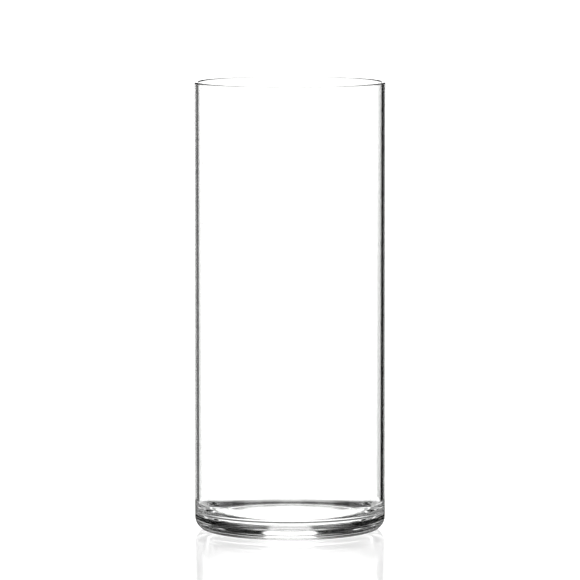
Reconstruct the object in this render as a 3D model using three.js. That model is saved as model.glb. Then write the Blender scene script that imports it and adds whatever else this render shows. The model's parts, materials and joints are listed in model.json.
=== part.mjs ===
// A straight glass cylinder vase. Millimetres, +Z up, origin at the centre of the foot.
// The real vase is one moulding. It is kept here as its three zones, which meet on flat planes
// across the glass, so that the rim, the wall or the base can be changed on its own.
import * as THREE from "three";

// Driving dimensions
const OUTER_RADIUS = 57.25; // of the straight outside
const HEIGHT = 270; // from the table to the top of the rim
const RIM_THICKNESS = 2.1; // wall just under the rim
const WALL_FOOT_THICKNESS = 2.4; // wall where it meets the base
const FLOOR_THICKNESS = 8.2; // glass under the flat of the inner floor, above the table
const HEEL_RADIUS = 7.75; // outer corner between wall and underside
const FILLET_RADIUS = 9.8; // inner corner between wall and floor
const RESTING_RING_WIDTH = 3; // flat ring that the vase stands on
const PUSH_UP = 0.8; // rise of the underside inside the resting ring
const PUSH_UP_SHOULDER = 9; // radial run of that rise
const RADIAL_SEGMENTS = 96;
const ARC_STEPS = 8;

// Derived sizes
const RIM_INNER_RADIUS = OUTER_RADIUS - RIM_THICKNESS;
const FOOT_INNER_RADIUS = OUTER_RADIUS - WALL_FOOT_THICKNESS;
const BASE_TOP = FLOOR_THICKNESS + FILLET_RADIUS;
const RIM_BOTTOM = HEIGHT - RIM_THICKNESS / 2;
const RING_OUTER_RADIUS = OUTER_RADIUS - HEEL_RADIUS;
const RING_INNER_RADIUS = RING_OUTER_RADIUS - RESTING_RING_WIDTH;

// Points of a circular arc in the (radius, height) plane, angles in quarter turns.
function arc(centreRadius, centreHeight, radius, fromQuarter, toQuarter) {
  return Array.from({ length: ARC_STEPS + 1 }, (_, step) => {
    const quarter = fromQuarter + ((toQuarter - fromQuarter) * step) / ARC_STEPS;
    const angle = (quarter * Math.PI) / 2;
    return new THREE.Vector2(
      centreRadius + radius * Math.cos(angle),
      centreHeight + radius * Math.sin(angle),
    );
  });
}

// Points of a smooth step that falls from fromHeight to toHeight, flat at both ends.
function smoothStep(fromRadius, fromHeight, toRadius, toHeight) {
  return Array.from({ length: ARC_STEPS + 1 }, (_, step) => {
    const share = step / ARC_STEPS;
    const eased = (1 - Math.cos(Math.PI * share)) / 2;
    return new THREE.Vector2(
      fromRadius + (toRadius - fromRadius) * share,
      fromHeight + (toHeight - fromHeight) * eased,
    );
  });
}

function glass() {
  return new THREE.MeshStandardMaterial({
    color: 0xf4f7f5,
    roughness: 0.02,
    metalness: 0,
    transparent: true,
    opacity: 0.25,
  });
}

// Turns a profile of (radius, height) points about +Z into a named mesh.
function turned(name, profile) {
  const geometry = new THREE.LatheGeometry(profile, RADIAL_SEGMENTS);
  geometry.rotateX(Math.PI / 2);
  const mesh = new THREE.Mesh(geometry, glass());
  mesh.name = name;
  return mesh;
}

// Solid floor: underside with a shallow push-up, resting ring, round heel and inner fillet.
function thickBase() {
  const filletCentre = FOOT_INNER_RADIUS - FILLET_RADIUS;
  return turned("thick_base", [
    new THREE.Vector2(0, PUSH_UP),
    ...smoothStep(RING_INNER_RADIUS - PUSH_UP_SHOULDER, PUSH_UP, RING_INNER_RADIUS, 0),
    ...arc(RING_OUTER_RADIUS, HEEL_RADIUS, HEEL_RADIUS, -1, 0),
    new THREE.Vector2(OUTER_RADIUS, BASE_TOP),
    ...arc(filletCentre, BASE_TOP, FILLET_RADIUS, 0, -1),
    new THREE.Vector2(0, FLOOR_THICKNESS),
  ]);
}

// Straight tube, a little thicker at its foot than under the rim.
function cylinderWall() {
  return turned("cylinder_wall", [
    new THREE.Vector2(FOOT_INNER_RADIUS, BASE_TOP),
    new THREE.Vector2(OUTER_RADIUS, BASE_TOP),
    new THREE.Vector2(OUTER_RADIUS, RIM_BOTTOM),
    new THREE.Vector2(RIM_INNER_RADIUS, RIM_BOTTOM),
    new THREE.Vector2(FOOT_INNER_RADIUS, BASE_TOP),
  ]);
}

// Fire-polished half-round lip.
function rimBead() {
  const middle = (OUTER_RADIUS + RIM_INNER_RADIUS) / 2;
  const lip = arc(middle, RIM_BOTTOM, RIM_THICKNESS / 2, 0, 2);
  return turned("rim_bead", [...lip, lip[0]]);
}

const vase = new THREE.Group();
vase.add(thickBase(), cylinderWall(), rimBead());

export default vase;
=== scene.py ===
"""Clear glass cylinder vase: the finished glass of its base, wall and rim, in a plain bright studio.

Lengths are in metres, angles in degrees and light levels are linear, where 1 is white.
"""

import json
from math import pi, radians, sin

import bmesh
import bpy
from bpy.props import FloatProperty, FloatVectorProperty, IntProperty, PointerProperty
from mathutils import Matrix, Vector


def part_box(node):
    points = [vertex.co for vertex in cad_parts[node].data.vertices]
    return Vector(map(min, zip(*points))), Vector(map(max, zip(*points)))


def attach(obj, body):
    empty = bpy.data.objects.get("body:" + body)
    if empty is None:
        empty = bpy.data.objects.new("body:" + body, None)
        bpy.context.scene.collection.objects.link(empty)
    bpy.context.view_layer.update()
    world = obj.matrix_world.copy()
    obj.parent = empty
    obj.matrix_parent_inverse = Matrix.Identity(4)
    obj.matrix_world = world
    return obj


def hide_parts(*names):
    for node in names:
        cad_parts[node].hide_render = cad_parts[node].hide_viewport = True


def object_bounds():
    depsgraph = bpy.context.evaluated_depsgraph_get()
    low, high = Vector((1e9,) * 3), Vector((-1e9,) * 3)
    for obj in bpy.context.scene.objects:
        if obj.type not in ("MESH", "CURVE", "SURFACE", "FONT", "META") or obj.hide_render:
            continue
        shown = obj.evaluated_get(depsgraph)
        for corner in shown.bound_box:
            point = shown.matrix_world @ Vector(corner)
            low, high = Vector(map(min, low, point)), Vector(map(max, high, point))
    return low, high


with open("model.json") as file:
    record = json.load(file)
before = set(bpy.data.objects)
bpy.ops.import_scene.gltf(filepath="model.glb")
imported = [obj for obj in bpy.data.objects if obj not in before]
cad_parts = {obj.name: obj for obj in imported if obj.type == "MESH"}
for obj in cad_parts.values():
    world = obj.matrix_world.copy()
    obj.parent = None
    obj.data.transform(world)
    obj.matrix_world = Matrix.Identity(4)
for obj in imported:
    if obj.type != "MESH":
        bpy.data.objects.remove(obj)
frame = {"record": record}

bl_info = {
    "name": "Glass Cylinder Vase",
    "version": (1, 0, 0),
    "blender": (4, 5, 0),
    "location": "View3D > Sidebar > Vase",
    "description": "Builds a clear glass cylinder vase around its packed frame",
    "category": "Add Mesh",
}

MM = 0.001

# Sizes that the frame holds
CAD_LOW, CAD_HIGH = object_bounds()
OUTER_RADIUS = (CAD_HIGH.x - CAD_LOW.x) / 2
HEIGHT = CAD_HIGH.z
BASE_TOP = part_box("thick_base")[1].z
LIP_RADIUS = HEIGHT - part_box("rim_bead")[0].z
LIP_BOTTOM = HEIGHT - LIP_RADIUS
INSIDE_LIP = OUTER_RADIUS - 2 * LIP_RADIUS
MOUNTS = {mount["name"]: mount for mount in frame["record"]["mounts"]}
FLOOR_THICKNESS = MOUNTS["inner_floor"]["pos_m"][2]
RING_MIDDLE_RADIUS = MOUNTS["resting_ring"]["pos_m"][0]

# Shape of the glass
FUSED_GAP = 0.01 * MM  # between two zones of the one moulding
FILLET_STUB = 0.05 * MM  # straight left over the inner fillet, for its arc to end on
PUSH_UP_SOFTNESS = 0.4  # of the push-up's run, rounded at each end
LIP_ROUNDING = 0.98  # of the half round, so that its two arcs don't meet
MERGE_DISTANCE = 0.0001 * MM

# Surface of the glass
LINE_SCALE = 90  # draw lines in a metre round the wall
LINE_STRETCH = 0.08  # of that up the wall, which they run along
WAVE_SCALE = 22  # waves in a metre
HAZE = 0.004  # the most roughness

# Floor. The part near the foot shows through the glass, with a painted pool of light in its middle and two
# painted round shadows.
FOOT_GAP = 0.05 * MM
NEAR_FLOOR_RADIUS = 0.14
FLOOR_SEGMENTS = 128
GLOW_FADE_START = 0.75  # of the near floor's radius, where its painted light starts to fade
# Painted light left at the near floor's edge, as seen through the glass
NEAR_EDGE_GLOW = 0.8

# The painted shadows' radii, under the resting ring and round the foot: where each starts, is full, starts
# to fade and ends
UNDER_RING_SHADOW = [RING_MIDDLE_RADIUS + offset * MM for offset in (-1.5, 1, 3.5, 5)]
UNDER_RING_SHADOW_DARKNESS = 0.9
FOOT_SHADOW = [OUTER_RADIUS + offset * MM for offset in (-3.2, -2, 4.5, 14.5)]

# Surroundings above the horizon
BACKDROPS_ABOVE = 4
PANEL_BLACK = 0.006
BACKDROP_EDGE = 1.5  # angle over which a backdrop's side edge softens, each way
PANEL_TOP_EDGE = 3  # the same for the top edge
SIDEWAYS = (0.38, 0.55)  # sideways share of a direction, from where a backdrop is low to all of it
SIDE_BACKDROP_TOP = (3.5, 7)  # angles where a low backdrop ends
BACKDROP_GAPS = (((26.5, 28, 31.5, 33), 0.5), ((38, 39, 41, 42.5), 0.95))  # angles and darkness
LEVEL_OVER_PANELS = 0.4
TOP_LIGHT_START = 75

# Surroundings below the horizon, which stand for the far floor
BACKDROPS_BELOW = 8
GREY_PANEL_EDGE = (12, 15)  # angles from a backdrop's middle where the panel starts and is full
BLACK_PANEL_EDGE = (8, 14)
PANEL_GREY = 0.17
FAR_FLOOR_LEVEL = 1.6
STEEP = (-10, -14)  # angles where the view from above starts and is full
STEEP_LEVEL = 0.95
STEEP_PANEL = 0.5  # share of the panels that is left there

# Camera and light paths
SENSOR_WIDTH = 36
CAMERA_REACH = 20
GLASS_BOUNCES = 48
GLOSS_BOUNCES = 32
STRAIGHT_BOUNCES = 64


# ---------------------------------------------------------------- settings


class VaseShape(bpy.types.PropertyGroup):
    """Sizes of the glass that the frame leaves open."""

    foot_wall: FloatProperty(
        name="Wall at the base",
        description="Thickness of the wall where it meets the base",
        default=2.4 * MM,
        subtype="DISTANCE",
    )
    ring_width: FloatProperty(
        name="Resting ring",
        description="Width of the flat ring that the vase stands on",
        default=3 * MM,
        subtype="DISTANCE",
    )
    push_up: FloatProperty(
        name="Push-up",
        description="Rise of the underside inside the resting ring",
        default=0.8 * MM,
        subtype="DISTANCE",
    )
    push_up_run: FloatProperty(
        name="Push-up run",
        description="Radial run of that rise",
        default=9 * MM,
        subtype="DISTANCE",
    )
    steps_quarter: IntProperty(
        name="Steps in a quarter",
        description="Facets in each quarter turn about the axis",
        default=96,
        min=16,
    )
    steps_arc: IntProperty(
        name="Steps in an arc",
        description="Facets in each rounded corner",
        default=20,
        min=4,
    )


class VaseGlass(bpy.types.PropertyGroup):
    """Look of the glass."""

    tint: FloatVectorProperty(
        name="Tint",
        description="Colour that light takes at each face",
        default=(0.992, 0.995, 0.99),
        subtype="COLOR",
    )
    refraction: FloatProperty(
        name="Index of refraction",
        description="Of soda-lime glass",
        default=1.52,
    )
    ripple: FloatProperty(
        name="Ripple",
        description="Depth of the faint draw lines and waves in the surface",
        default=0.0015 * MM,
        subtype="DISTANCE",
    )


class VaseStudio(bpy.types.PropertyGroup):
    """Floor, light and camera."""

    floor_radius: FloatProperty(
        name="Floor radius",
        description="Of the round pale floor",
        default=3.0,
        subtype="DISTANCE",
    )
    floor_white: FloatProperty(
        name="Floor white",
        description="Diffuse reflectance of the floor",
        default=0.5,
    )
    floor_glow: FloatProperty(
        name="Floor glow",
        description="Light that the sheet lets through from below",
        default=0.6,
    )
    floor_roughness: FloatProperty(
        name="Floor roughness",
        description="Roughness of the floor's gloss",
        default=0.12,
    )
    # Painted light: how brightly the floor near the foot glows, as seen only through the glass
    painted_foot_light: FloatProperty(
        name="Foot light",
        description="Light under the vase, as it shows through the glass",
        default=1.2,
    )
    backdrop_level: FloatProperty(
        name="Backdrop level",
        description="Brightness of the white backdrops at the horizon",
        default=2.0,
    )
    backdrop_fade: FloatProperty(
        name="Backdrop fade",
        description="How much of that is lost towards the zenith",
        default=2.1,
    )
    top_level: FloatProperty(
        name="Top light level",
        description="Brightness of the soft light overhead",
        default=1.8,
    )
    backdrop_half_angle: FloatProperty(
        name="Backdrop half angle",
        description="Half width of each backdrop between its dark panels, in degrees",
        default=11.0,
    )
    panel_top: FloatProperty(
        name="Panel top",
        description="How high the dark panels reach, in degrees above the horizon",
        default=53.0,
    )
    camera_distance: FloatProperty(
        name="Camera distance",
        description="Level distance from the vase's axis to the camera",
        default=3.107,
        subtype="DISTANCE",
    )
    camera_height: FloatProperty(
        name="Camera height",
        description="Height of the camera above the floor",
        default=0.446,
        subtype="DISTANCE",
    )
    camera_tilt: FloatProperty(
        name="Camera tilt",
        description="Downward tilt of the camera, in degrees",
        default=5.542,
    )
    camera_lens: FloatProperty(
        name="Lens",
        description="Focal length in millimetres on a 36 mm sensor",
        default=322.2,
    )


# ---------------------------------------------------------------- shapes


def cut_profile(corners, arc_steps):
    """A bmesh holding the outline of (radius, height, rounding) corners, with the rounded ones as arcs."""
    mesh = bmesh.new()
    points = [mesh.verts.new((radius, 0, height)) for radius, height, _ in corners]
    mesh.faces.new(points)
    for point, (_, _, rounding) in zip(points, corners):
        if rounding > 0:
            bmesh.ops.bevel(
                mesh,
                geom=[point],
                offset=rounding,
                offset_type="OFFSET",
                affect="VERTICES",
                segments=arc_steps,
                profile=0.5,
                material=-1,
            )
    bmesh.ops.delete(mesh, geom=mesh.faces[:], context="FACES_ONLY")
    return mesh


def hold_straights(mesh, strip=0.1 * MM, shortest=0.6 * MM):
    """Adds a point near each end of the outline's straights, so that they shade flat next to an arc."""
    for edge in [e for e in mesh.edges if e.calc_length() > shortest]:
        for point in edge.verts[:]:
            straight = max(point.link_edges, key=lambda e: e.calc_length())
            bmesh.utils.edge_split(straight, point, strip / straight.calc_length())


def turn_about_axis(mesh, steps_quarter):
    """Spins an outline a quarter turn about +Z and mirrors it into a closed body."""
    on_axis = [e for e in mesh.edges if max(v.co.x for v in e.verts) < MERGE_DISTANCE]
    bmesh.ops.delete(mesh, geom=on_axis, context="EDGES")
    bmesh.ops.spin(
        mesh,
        geom=mesh.verts[:] + mesh.edges[:],
        cent=(0, 0, 0),
        axis=(0, 0, 1),
        angle=pi / 2,
        steps=steps_quarter,
    )
    for axis in "XY":
        quarters = mesh.verts[:] + mesh.edges[:] + mesh.faces[:]
        bmesh.ops.mirror(mesh, geom=quarters, axis=axis, merge_dist=MERGE_DISTANCE)
    poles = [v for v in mesh.verts if v.co.xy.length < MERGE_DISTANCE]
    bmesh.ops.remove_doubles(mesh, verts=poles, dist=MERGE_DISTANCE)
    bmesh.ops.recalc_face_normals(mesh, faces=mesh.faces[:])


def sort_by_place(elements, middle):
    """Sorts points, edges or faces by where they lie, because the operators leave them in varying order."""
    ranked = sorted(elements, key=lambda element: middle(element).to_tuple(8))
    for rank, element in enumerate(ranked):
        element.index = rank
    elements.sort()


def add_object(name, mesh, materials):
    """Makes an object of a finished bmesh and links it to the scene."""
    data = bpy.data.meshes.new(name)
    mesh.to_mesh(data)
    mesh.free()
    for material in materials:
        data.materials.append(material)
    added = bpy.data.objects.new(name, data)
    bpy.context.scene.collection.objects.link(added)
    return added


def add_glass(name, node, corners, fused_heights):
    """A glass body turned from its outline, for a CAD node. Faces at fused_heights meet the next zone."""
    shape = bpy.context.scene.vase_shape
    mesh = cut_profile(corners, shape.steps_arc)
    hold_straights(mesh)
    turn_about_axis(mesh, shape.steps_quarter)
    for face in mesh.faces:
        face.smooth = True
        middle = face.calc_center_median().z
        if any(abs(middle - height) < FUSED_GAP for height in fused_heights):
            face.material_index = 1
    for edge in mesh.edges:
        sides = {face.material_index for face in edge.link_faces}
        edge.smooth = len(sides) == 1
    sort_by_place(mesh.verts, lambda v: v.co)
    sort_by_place(mesh.edges, lambda e: (e.verts[0].co + e.verts[1].co) / 2)
    sort_by_place(mesh.faces, lambda f: f.calc_center_median())
    piece = add_object(name, mesh, [clear_glass(), fused_joint()])
    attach(piece, "root")
    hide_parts(node)


# ---------------------------------------------------------------- node helpers


def feed(tree, sockets, values):
    """Sets each socket to its number, or links it to its socket."""
    for socket, value in zip(sockets, values):
        if isinstance(value, (int, float)):
            socket.default_value = value
        else:
            tree.links.new(value, socket)


def maths(tree, operation, *values):
    """A Math node fed by numbers or sockets. Returns its output."""
    node = tree.nodes.new("ShaderNodeMath")
    node.operation = operation
    feed(tree, node.inputs, values)
    return node.outputs[0]


def smooth_range(tree, value, low, high):
    """0 below low and 1 above high, with a smooth step between."""
    node = tree.nodes.new("ShaderNodeMapRange")
    node.interpolation_type = "SMOOTHSTEP"
    feed(tree, node.inputs[:3], (value, low, high))
    return node.outputs["Result"]


def smooth_height(tree, z, low, high):
    """The same for a direction's height, between two angles above the horizon."""
    return smooth_range(tree, z, sin(radians(low)), sin(radians(high)))


def smooth_angle(tree, angle, low, high):
    """The same for an angle."""
    return smooth_range(tree, angle, radians(low), radians(high))


def mixed(tree, share, low, high):
    """low where share is 0 and high where it is 1."""
    node = tree.nodes.new("ShaderNodeMix")
    feed(tree, node.inputs[:1] + node.inputs[2:4], (share, low, high))
    return node.outputs[0]


def band(tree, value, start, full, fading, end):
    """1 from full to fading, and 0 before start and after end."""
    rise = smooth_range(tree, value, start, full)
    fall = smooth_range(tree, value, end, fading)
    return maths(tree, "MULTIPLY", rise, fall)


# ---------------------------------------------------------------- materials


def noise(tree, vector, scale):
    """A soft noise pattern. Returns its value."""
    node = tree.nodes.new("ShaderNodeTexNoise")
    node.inputs["Scale"].default_value = scale
    node.inputs["Detail"].default_value = 1
    tree.links.new(vector, node.inputs["Vector"])
    return node.outputs["Fac"]


def glass_surface_group():
    """Node group: the faint draw lines and waves that moulded glass keeps, as a roughness and a height."""
    name = "glass surface"
    if name in bpy.data.node_groups:
        return bpy.data.node_groups[name]
    group = bpy.data.node_groups.new(name, "ShaderNodeTree")
    group.interface.new_socket("Vector", in_out="INPUT", socket_type="NodeSocketVector")
    group.interface.new_socket("Roughness", in_out="OUTPUT", socket_type="NodeSocketFloat")
    group.interface.new_socket("Height", in_out="OUTPUT", socket_type="NodeSocketFloat")
    vector = group.nodes.new("NodeGroupInput").outputs["Vector"]
    end = group.nodes.new("NodeGroupOutput")

    stretch = group.nodes.new("ShaderNodeMapping")
    stretch.inputs["Scale"].default_value = (1, 1, LINE_STRETCH)
    group.links.new(vector, stretch.inputs["Vector"])
    lines = noise(group, stretch.outputs["Vector"], LINE_SCALE)
    waves = noise(group, vector, WAVE_SCALE)
    group.links.new(maths(group, "ADD", lines, waves), end.inputs["Height"])
    group.links.new(maths(group, "MULTIPLY", waves, HAZE), end.inputs["Roughness"])
    return group


def clear_glass():
    """Clear soda-lime glass with a fire-polished surface."""
    name = "clear glass"
    if name in bpy.data.materials:
        return bpy.data.materials[name]
    look = bpy.context.scene.vase_glass
    material = bpy.data.materials.new(name)
    material.use_nodes = True
    nodes, links = material.node_tree.nodes, material.node_tree.links
    shader = nodes["Principled BSDF"]
    shader.inputs["Base Color"].default_value = (*look.tint, 1)
    shader.inputs["IOR"].default_value = look.refraction
    shader.inputs["Transmission Weight"].default_value = 1
    coordinates = nodes.new("ShaderNodeTexCoord")
    surface = nodes.new("ShaderNodeGroup")
    surface.node_tree = glass_surface_group()
    links.new(coordinates.outputs["Object"], surface.inputs["Vector"])
    links.new(surface.outputs["Roughness"], shader.inputs["Roughness"])
    bump = nodes.new("ShaderNodeBump")
    bump.inputs["Distance"].default_value = look.ripple
    links.new(surface.outputs["Height"], bump.inputs["Height"])
    links.new(bump.outputs["Normal"], shader.inputs["Normal"])
    return material


def fused_joint():
    """Where two zones of the one moulding meet there is no surface, so light goes straight on."""
    name = "fused joint"
    if name in bpy.data.materials:
        return bpy.data.materials[name]
    material = bpy.data.materials.new(name)
    material.use_nodes = True
    nodes, links = material.node_tree.nodes, material.node_tree.links
    nodes.remove(nodes["Principled BSDF"])
    clear = nodes.new("ShaderNodeBsdfTransparent")
    links.new(clear.outputs["BSDF"], nodes["Material Output"].inputs["Surface"])
    return material


def white_acrylic_painted_light_and_shade(studio):
    """Glossy white sheet that glows a little. Through glass it shows a painted pool of light in its middle
    and two painted round shadows.
    """
    material = bpy.data.materials.new("white acrylic")
    material.use_nodes = True
    tree = material.node_tree
    nodes, links = tree.nodes, tree.links
    shader = nodes["Principled BSDF"]
    shader.inputs["Roughness"].default_value = studio.floor_roughness
    shader.inputs["Emission Color"].default_value = (1, 1, 1, 1)
    coordinates = nodes.new("ShaderNodeTexCoord")
    distance = nodes.new("ShaderNodeVectorMath")
    distance.operation = "LENGTH"
    links.new(coordinates.outputs["Object"], distance.inputs[0])
    radius = distance.outputs["Value"]
    # Painted shadows: one under the resting ring and one round the foot
    under_ring_shadow = maths(tree, "MULTIPLY", band(tree, radius, *UNDER_RING_SHADOW), UNDER_RING_SHADOW_DARKNESS)
    shade = maths(tree, "MAXIMUM", under_ring_shadow, band(tree, radius, *FOOT_SHADOW))
    # Painted pool of light: through the glass the floor glows brightest under the vase, less towards the
    # near floor's edge, and not at all in the painted shadows
    away = smooth_range(tree, radius, GLOW_FADE_START * NEAR_FLOOR_RADIUS, NEAR_FLOOR_RADIUS)
    near_glow = mixed(tree, away, studio.painted_foot_light, NEAR_EDGE_GLOW)
    shaded_glow = mixed(tree, shade, near_glow, 0)
    # Seen straight, the floor glows evenly. Only through the glass does it show the painted light and
    # shadows.
    through_glass = nodes.new("ShaderNodeLightPath").outputs["Is Transmission Ray"]
    glow = mixed(tree, through_glass, studio.floor_glow, shaded_glow)
    links.new(glow, shader.inputs["Emission Strength"])
    # The painted shadows darken the colour too, but only as seen through the glass
    seen_shade = maths(tree, "MULTIPLY", shade, through_glass)
    white = mixed(tree, seen_shade, studio.floor_white, 0)
    links.new(white, shader.inputs["Base Color"])
    return material


# ---------------------------------------------------------------- pieces


class VASE_OT_thick_base(bpy.types.Operator):
    """Make the solid base with its round heel, inner fillet and shallow push-up"""

    bl_idname = "vase.thick_base"
    bl_label = "Thick Base"

    def execute(self, context):
        shape = context.scene.vase_shape
        inside = OUTER_RADIUS - shape.foot_wall
        ring_outside = RING_MIDDLE_RADIUS + shape.ring_width / 2
        ring_inside = RING_MIDDLE_RADIUS - shape.ring_width / 2
        heel = OUTER_RADIUS - ring_outside
        fillet = BASE_TOP - FLOOR_THICKNESS - FILLET_STUB
        top = BASE_TOP - FUSED_GAP / 2
        soft = shape.push_up_run * PUSH_UP_SOFTNESS
        corners = [
            (0, shape.push_up, 0),
            (ring_inside - shape.push_up_run, shape.push_up, soft),
            (ring_inside, 0, soft),
            (OUTER_RADIUS, 0, heel),
            (OUTER_RADIUS, top, 0),
            (inside, top, 0),
            (inside, FLOOR_THICKNESS, fillet),
            (0, FLOOR_THICKNESS, 0),
        ]
        add_glass("thick_base_glass", "thick_base", corners, [top])
        return {"FINISHED"}


class VASE_OT_cylinder_wall(bpy.types.Operator):
    """Make the straight tube between base and rim"""

    bl_idname = "vase.cylinder_wall"
    bl_label = "Cylinder Wall"

    def execute(self, context):
        inside_foot = OUTER_RADIUS - context.scene.vase_shape.foot_wall
        bottom = BASE_TOP + FUSED_GAP / 2
        top = LIP_BOTTOM - FUSED_GAP / 2
        corners = [
            (inside_foot, bottom, 0),
            (OUTER_RADIUS, bottom, 0),
            (OUTER_RADIUS, top, 0),
            (INSIDE_LIP, top, 0),
        ]
        add_glass("cylinder_wall_glass", "cylinder_wall", corners, [bottom, top])
        return {"FINISHED"}


class VASE_OT_rim_bead(bpy.types.Operator):
    """Make the fire-polished half-round lip"""

    bl_idname = "vase.rim_bead"
    bl_label = "Rim Bead"

    def execute(self, context):
        bottom = LIP_BOTTOM + FUSED_GAP / 2
        rounding = LIP_RADIUS * LIP_ROUNDING
        corners = [
            (INSIDE_LIP, bottom, 0),
            (OUTER_RADIUS, bottom, 0),
            (OUTER_RADIUS, HEIGHT, rounding),
            (INSIDE_LIP, HEIGHT, rounding),
        ]
        add_glass("rim_bead_glass", "rim_bead", corners, [bottom])
        return {"FINISHED"}


# ---------------------------------------------------------------- studio


def floor_sheet(name, inner, outer, material):
    """A round sheet of the floor, or a ring of it where inner is not 0."""
    mesh = bmesh.new()
    bmesh.ops.create_circle(mesh, cap_ends=inner == 0, segments=FLOOR_SEGMENTS, radius=outer)
    if inner > 0:
        bmesh.ops.create_circle(mesh, cap_ends=False, segments=FLOOR_SEGMENTS, radius=inner)
        bmesh.ops.bridge_loops(mesh, edges=mesh.edges[:])
    bmesh.ops.translate(mesh, verts=mesh.verts[:], vec=(0, 0, -FOOT_GAP))
    floor = add_object(name, mesh, [material])
    floor.visible_glossy = False
    return floor


def light_above(tree, studio, x, z, azimuth):
    """Brightness above the horizon: backdrops, low ones at the sides, dark panels and a soft top light."""
    half = studio.backdrop_half_angle
    top = studio.panel_top
    from_middle = maths(tree, "PINGPONG", azimuth, pi / BACKDROPS_ABOVE)
    beside = smooth_angle(tree, from_middle, half - BACKDROP_EDGE, half + BACKDROP_EDGE)
    fading = maths(tree, "MULTIPLY", z, studio.backdrop_fade)
    backdrop = maths(tree, "SUBTRACT", studio.backdrop_level, fading)
    sideways = smooth_range(tree, maths(tree, "ABSOLUTE", x), *SIDEWAYS)
    over_side = maths(tree, "MULTIPLY", sideways, smooth_height(tree, z, *SIDE_BACKDROP_TOP))
    backdrop = mixed(tree, over_side, backdrop, 0)
    for angles, darkness in BACKDROP_GAPS:
        gap = band(tree, z, *(sin(radians(angle)) for angle in angles))
        backdrop = mixed(tree, maths(tree, "MULTIPLY", gap, darkness), backdrop, 0)
    round_about = mixed(tree, beside, backdrop, PANEL_BLACK)
    under_top_light = smooth_height(tree, z, top, TOP_LIGHT_START)
    overhead = mixed(tree, under_top_light, LEVEL_OVER_PANELS, studio.top_level)
    below_top = smooth_height(tree, z, top + PANEL_TOP_EDGE, top - PANEL_TOP_EDGE)
    return mixed(tree, below_top, overhead, round_about)


def light_below(tree, z, azimuth):
    """Brightness below the horizon, as the glass sees the far floor: grey and black panels by turns."""
    from_middle = maths(tree, "PINGPONG", azimuth, pi / BACKDROPS_BELOW)
    turns = maths(tree, "SINE", maths(tree, "MULTIPLY", azimuth, BACKDROPS_BELOW / 2))
    black_turn = maths(tree, "GREATER_THAN", turns, 0)
    grey_edge = smooth_angle(tree, from_middle, *GREY_PANEL_EDGE)
    black_edge = smooth_angle(tree, from_middle, *BLACK_PANEL_EDGE)
    panel = mixed(tree, black_turn, grey_edge, black_edge)
    tone = mixed(tree, black_turn, PANEL_GREY, PANEL_BLACK)
    steep = smooth_height(tree, z, *STEEP)
    far_floor = mixed(tree, steep, FAR_FLOOR_LEVEL, STEEP_LEVEL)
    panel = maths(tree, "MULTIPLY", panel, mixed(tree, steep, 1, STEEP_PANEL))
    seen = mixed(tree, panel, far_floor, tone)
    mirrored = tree.nodes.new("ShaderNodeLightPath").outputs["Is Reflection Ray"]
    return mixed(tree, mirrored, seen, PANEL_BLACK)


def bright_surroundings(studio):
    """White backdrops in front, behind and at the sides, with dark panels between them."""
    world = bpy.data.worlds.new("bright surroundings")
    world.use_nodes = True
    bpy.context.scene.world = world
    tree = world.node_tree
    coordinates = tree.nodes.new("ShaderNodeTexCoord")
    axes = tree.nodes.new("ShaderNodeSeparateXYZ")
    tree.links.new(coordinates.outputs["Generated"], axes.inputs[0])
    x, y, z = axes.outputs
    azimuth = maths(tree, "ARCTAN2", x, y)
    above = light_above(tree, studio, x, z, azimuth)
    below = light_below(tree, z, azimuth)
    over_horizon = maths(tree, "GREATER_THAN", z, 0)
    background = tree.nodes["Background"]
    background.inputs["Color"].default_value = (1, 1, 1, 1)
    tree.links.new(mixed(tree, over_horizon, below, above), background.inputs["Strength"])


def add_camera(studio):
    """A long lens in front of the vase, looking a little down on it."""
    lens = bpy.data.cameras.new("camera")
    lens.sensor_width = SENSOR_WIDTH
    lens.lens = studio.camera_lens
    lens.clip_end = CAMERA_REACH
    camera = bpy.data.objects.new("camera", lens)
    camera.location = (0, -studio.camera_distance, studio.camera_height)
    camera.rotation_euler = (radians(90 - studio.camera_tilt), 0, 0)
    bpy.context.scene.collection.objects.link(camera)
    bpy.context.scene.camera = camera


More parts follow.
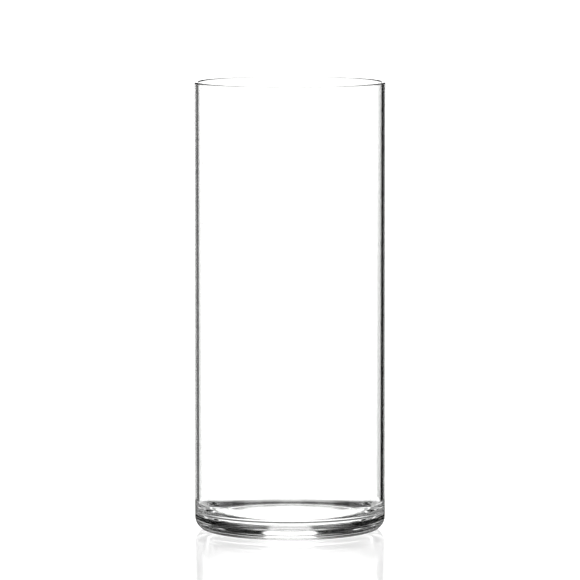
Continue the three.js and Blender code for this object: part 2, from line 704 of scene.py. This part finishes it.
class VASE_OT_studio(bpy.types.Operator):
    """Make the floor, the light, the dark panels and the camera"""

    bl_idname = "vase.studio"
    bl_label = "Studio"

    def execute(self, context):
        scene = context.scene
        studio = scene.vase_studio
        bright_surroundings(studio)
        acrylic = white_acrylic_painted_light_and_shade(studio)
        floor_sheet("near_floor", 0, NEAR_FLOOR_RADIUS, acrylic)
        far_floor = floor_sheet("far_floor", NEAR_FLOOR_RADIUS, studio.floor_radius, acrylic)
        far_floor.visible_transmission = False
        add_camera(studio)

        scene.view_settings.view_transform = "Standard"
        cycles = scene.cycles
        cycles.max_bounces = GLASS_BOUNCES
        cycles.transmission_bounces = GLASS_BOUNCES
        cycles.glossy_bounces = GLOSS_BOUNCES
        cycles.transparent_max_bounces = STRAIGHT_BOUNCES
        cycles.blur_glossy = 0
        cycles.use_denoising = True
        return {"FINISHED"}


# ---------------------------------------------------------------- add-on


class VASE_PT_panel(bpy.types.Panel):
    """Lists the vase's pieces and the studio"""

    bl_idname = "VASE_PT_panel"
    bl_label = "Glass Cylinder Vase"
    bl_space_type = "VIEW_3D"
    bl_region_type = "UI"
    bl_category = "Vase"

    def draw(self, context):
        layout = self.layout
        for settings in SETTINGS:
            group = getattr(context.scene, settings)
            column = layout.column()
            for name in group.__annotations__:
                column.prop(group, name)
        for operator in OPERATORS:
            layout.operator(operator.bl_idname)


SETTINGS = {"vase_shape": VaseShape, "vase_glass": VaseGlass, "vase_studio": VaseStudio}
OPERATORS = (VASE_OT_thick_base, VASE_OT_cylinder_wall, VASE_OT_rim_bead, VASE_OT_studio)
CLASSES = (*SETTINGS.values(), *OPERATORS, VASE_PT_panel)


def register():
    for cls in CLASSES:
        bpy.utils.register_class(cls)
    for name, group in SETTINGS.items():
        setattr(bpy.types.Scene, name, PointerProperty(type=group))


def unregister():
    for name in SETTINGS:
        delattr(bpy.types.Scene, name)
    for cls in reversed(CLASSES):
        bpy.utils.unregister_class(cls)


def main():
    register()
    bpy.ops.vase.studio()
    bpy.ops.vase.thick_base()
    bpy.ops.vase.cylinder_wall()
    bpy.ops.vase.rim_bead()


if __name__ == "__main__":
    main()
